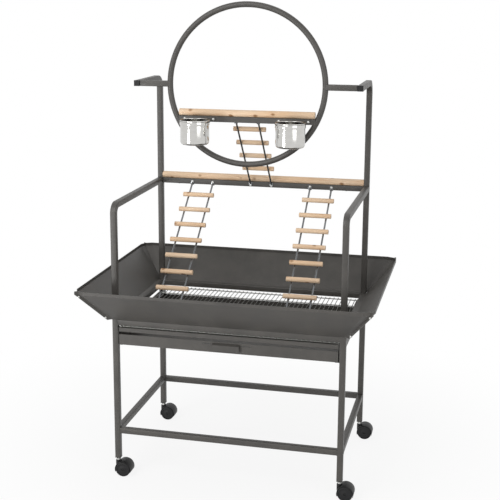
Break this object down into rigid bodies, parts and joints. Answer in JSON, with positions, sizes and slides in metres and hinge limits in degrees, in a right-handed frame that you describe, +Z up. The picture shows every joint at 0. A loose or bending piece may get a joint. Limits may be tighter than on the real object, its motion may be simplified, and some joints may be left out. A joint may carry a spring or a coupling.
{
  "type": "parrot play stand",
  "caption": "Wheeled parrot play stand: square-tube frame, sloping tray guards, pull-out grille and drawer, wooden ladders and perches, a hoop and lift-out cups.",
  "frame": {"origin": "on the floor under the middle of the stand", "axes": "+X to the right of somebody facing the drawer, +Y from the drawer front to the back, +Z up"},
  "size_m": [0.9512, 0.7112, 1.551],
  "materials": {
    "charcoal": "dark charcoal powder coat, low sheen",
    "wood": "pale sanded softwood, untreated",
    "cup_steel": "polished stainless steel",
    "zinc": "bright zinc plate",
    "black_plastic": "black moulded plastic",
    "black_tread": "black moulded wheel, low sheen"
  },
  "bodies": {
    "stand": {"leg_front_left": "charcoal", "leg_front_right": "charcoal", "leg_back_left": "charcoal", "leg_back_right": "charcoal", "lower_rail_front": "charcoal", "lower_rail_back": "charcoal", "lower_rail_left": "charcoal", "lower_rail_right": "charcoal", "upper_rail_front": "charcoal", "upper_rail_back": "charcoal", "upper_rail_left": "charcoal", "upper_rail_right": "charcoal", "runner_left": "charcoal", "runner_right": "charcoal", "guard_front": "charcoal", "guard_right": "charcoal", "guard_back": "charcoal", "guard_left": "charcoal", "guard_corner_screws": "zinc", "handrail_left": "charcoal", "handrail_right": "charcoal", "upright_left": "charcoal", "upright_right": "charcoal", "post_spigots": "charcoal", "arm_end_caps": "black_plastic", "hoop": "charcoal", "hoop_bar": "charcoal", "hoop_dowel": "wood", "mid_bar": "charcoal", "mid_dowel": "wood", "perch_screws": "zinc", "left_ladder_rods": "zinc", "left_ladder_rungs": "wood", "right_ladder_rods": "zinc", "right_ladder_rungs": "wood", "centre_ladder_rods": "zinc", "centre_ladder_rungs": "wood", "ladder_screws": "zinc", "cup_holder_left": "charcoal", "cup_holder_right": "charcoal", "cup_holder_screws": "zinc", "caster_stems": "zinc", "caster_inserts": "black_plastic"},
    "drawer": {"drawer": "charcoal"},
    "grille": {"grille_strip": "zinc", "grille_wires": "zinc"},
    "cup_left": {"cup_left": "cup_steel"},
    "cup_right": {"cup_right": "cup_steel"},
    "caster_front_left": {"caster_hood_front_left": "black_plastic"},
    "wheel_front_left_fore": {"caster_wheel_front_left_fore": "black_tread"},
    "wheel_front_left_aft": {"caster_wheel_front_left_aft": "black_tread"},
    "caster_front_right": {"caster_hood_front_right": "black_plastic"},
    "wheel_front_right_fore": {"caster_wheel_front_right_fore": "black_tread"},
    "wheel_front_right_aft": {"caster_wheel_front_right_aft": "black_tread"},
    "caster_back_left": {"caster_hood_back_left": "black_plastic"},
    "wheel_back_left_fore": {"caster_wheel_back_left_fore": "black_tread"},
    "wheel_back_left_aft": {"caster_wheel_back_left_aft": "black_tread"},
    "caster_back_right": {"caster_hood_back_right": "black_plastic"},
    "wheel_back_right_fore": {"caster_wheel_back_right_fore": "black_tread"},
    "wheel_back_right_aft": {"caster_wheel_back_right_aft": "black_tread"}
  },
  "joints": [
    {"name": "drawer_slide", "type": "slide", "parent": "stand", "child": "drawer", "axis": [0, -1, 0], "range_m": [0, 0.4]},
    {"name": "grille_slide", "type": "slide", "parent": "stand", "child": "grille", "axis": [0, -1, 0], "range_m": [0, 0.45]},
    {"name": "cup_left_lift", "type": "slide", "parent": "stand", "child": "cup_left", "axis": [0, 0, 1], "range_m": [0, 0.12]},
    {"name": "cup_right_lift", "type": "slide", "parent": "stand", "child": "cup_right", "axis": [0, 0, 1], "range_m": [0, 0.12]},
    {"name": "caster_front_left_swivel", "type": "hinge", "parent": "stand", "child": "caster_front_left", "pos_m": [-0.3715, -0.2515, 0.045], "axis": [0, 0, 1], "continuous": true},
    {"name": "wheel_front_left_fore_roll", "type": "hinge", "parent": "caster_front_left", "child": "wheel_front_left_fore", "pos_m": [-0.3515, -0.2655, 0.025], "axis": [0, 1, 0], "continuous": true},
    {"name": "wheel_front_left_aft_roll", "type": "hinge", "parent": "caster_front_left", "child": "wheel_front_left_aft", "pos_m": [-0.3515, -0.2375, 0.025], "axis": [0, 1, 0], "continuous": true},
    {"name": "caster_front_right_swivel", "type": "hinge", "parent": "stand", "child": "caster_front_right", "pos_m": [0.3715, -0.2515, 0.045], "axis": [0, 0, 1], "continuous": true},
    {"name": "wheel_front_right_fore_roll", "type": "hinge", "parent": "caster_front_right", "child": "wheel_front_right_fore", "pos_m": [0.3915, -0.2655, 0.025], "axis": [0, 1, 0], "continuous": true},
    {"name": "wheel_front_right_aft_roll", "type": "hinge", "parent": "caster_front_right", "child": "wheel_front_right_aft", "pos_m": [0.3915, -0.2375, 0.025], "axis": [0, 1, 0], "continuous": true},
    {"name": "caster_back_left_swivel", "type": "hinge", "parent": "stand", "child": "caster_back_left", "pos_m": [-0.3715, 0.2515, 0.045], "axis": [0, 0, 1], "continuous": true},
    {"name": "wheel_back_left_fore_roll", "type": "hinge", "parent": "caster_back_left", "child": "wheel_back_left_fore", "pos_m": [-0.3515, 0.2375, 0.025], "axis": [0, 1, 0], "continuous": true},
    {"name": "wheel_back_left_aft_roll", "type": "hinge", "parent": "caster_back_left", "child": "wheel_back_left_aft", "pos_m": [-0.3515, 0.2655, 0.025], "axis": [0, 1, 0], "continuous": true},
    {"name": "caster_back_right_swivel", "type": "hinge", "parent": "stand", "child": "caster_back_right", "pos_m": [0.3715, 0.2515, 0.045], "axis": [0, 0, 1], "continuous": true},
    {"name": "wheel_back_right_fore_roll", "type": "hinge", "parent": "caster_back_right", "child": "wheel_back_right_fore", "pos_m": [0.3915, 0.2375, 0.025], "axis": [0, 1, 0], "continuous": true},
    {"name": "wheel_back_right_aft_roll", "type": "hinge", "parent": "caster_back_right", "child": "wheel_back_right_aft", "pos_m": [0.3915, 0.2655, 0.025], "axis": [0, 1, 0], "continuous": true}
  ]
}
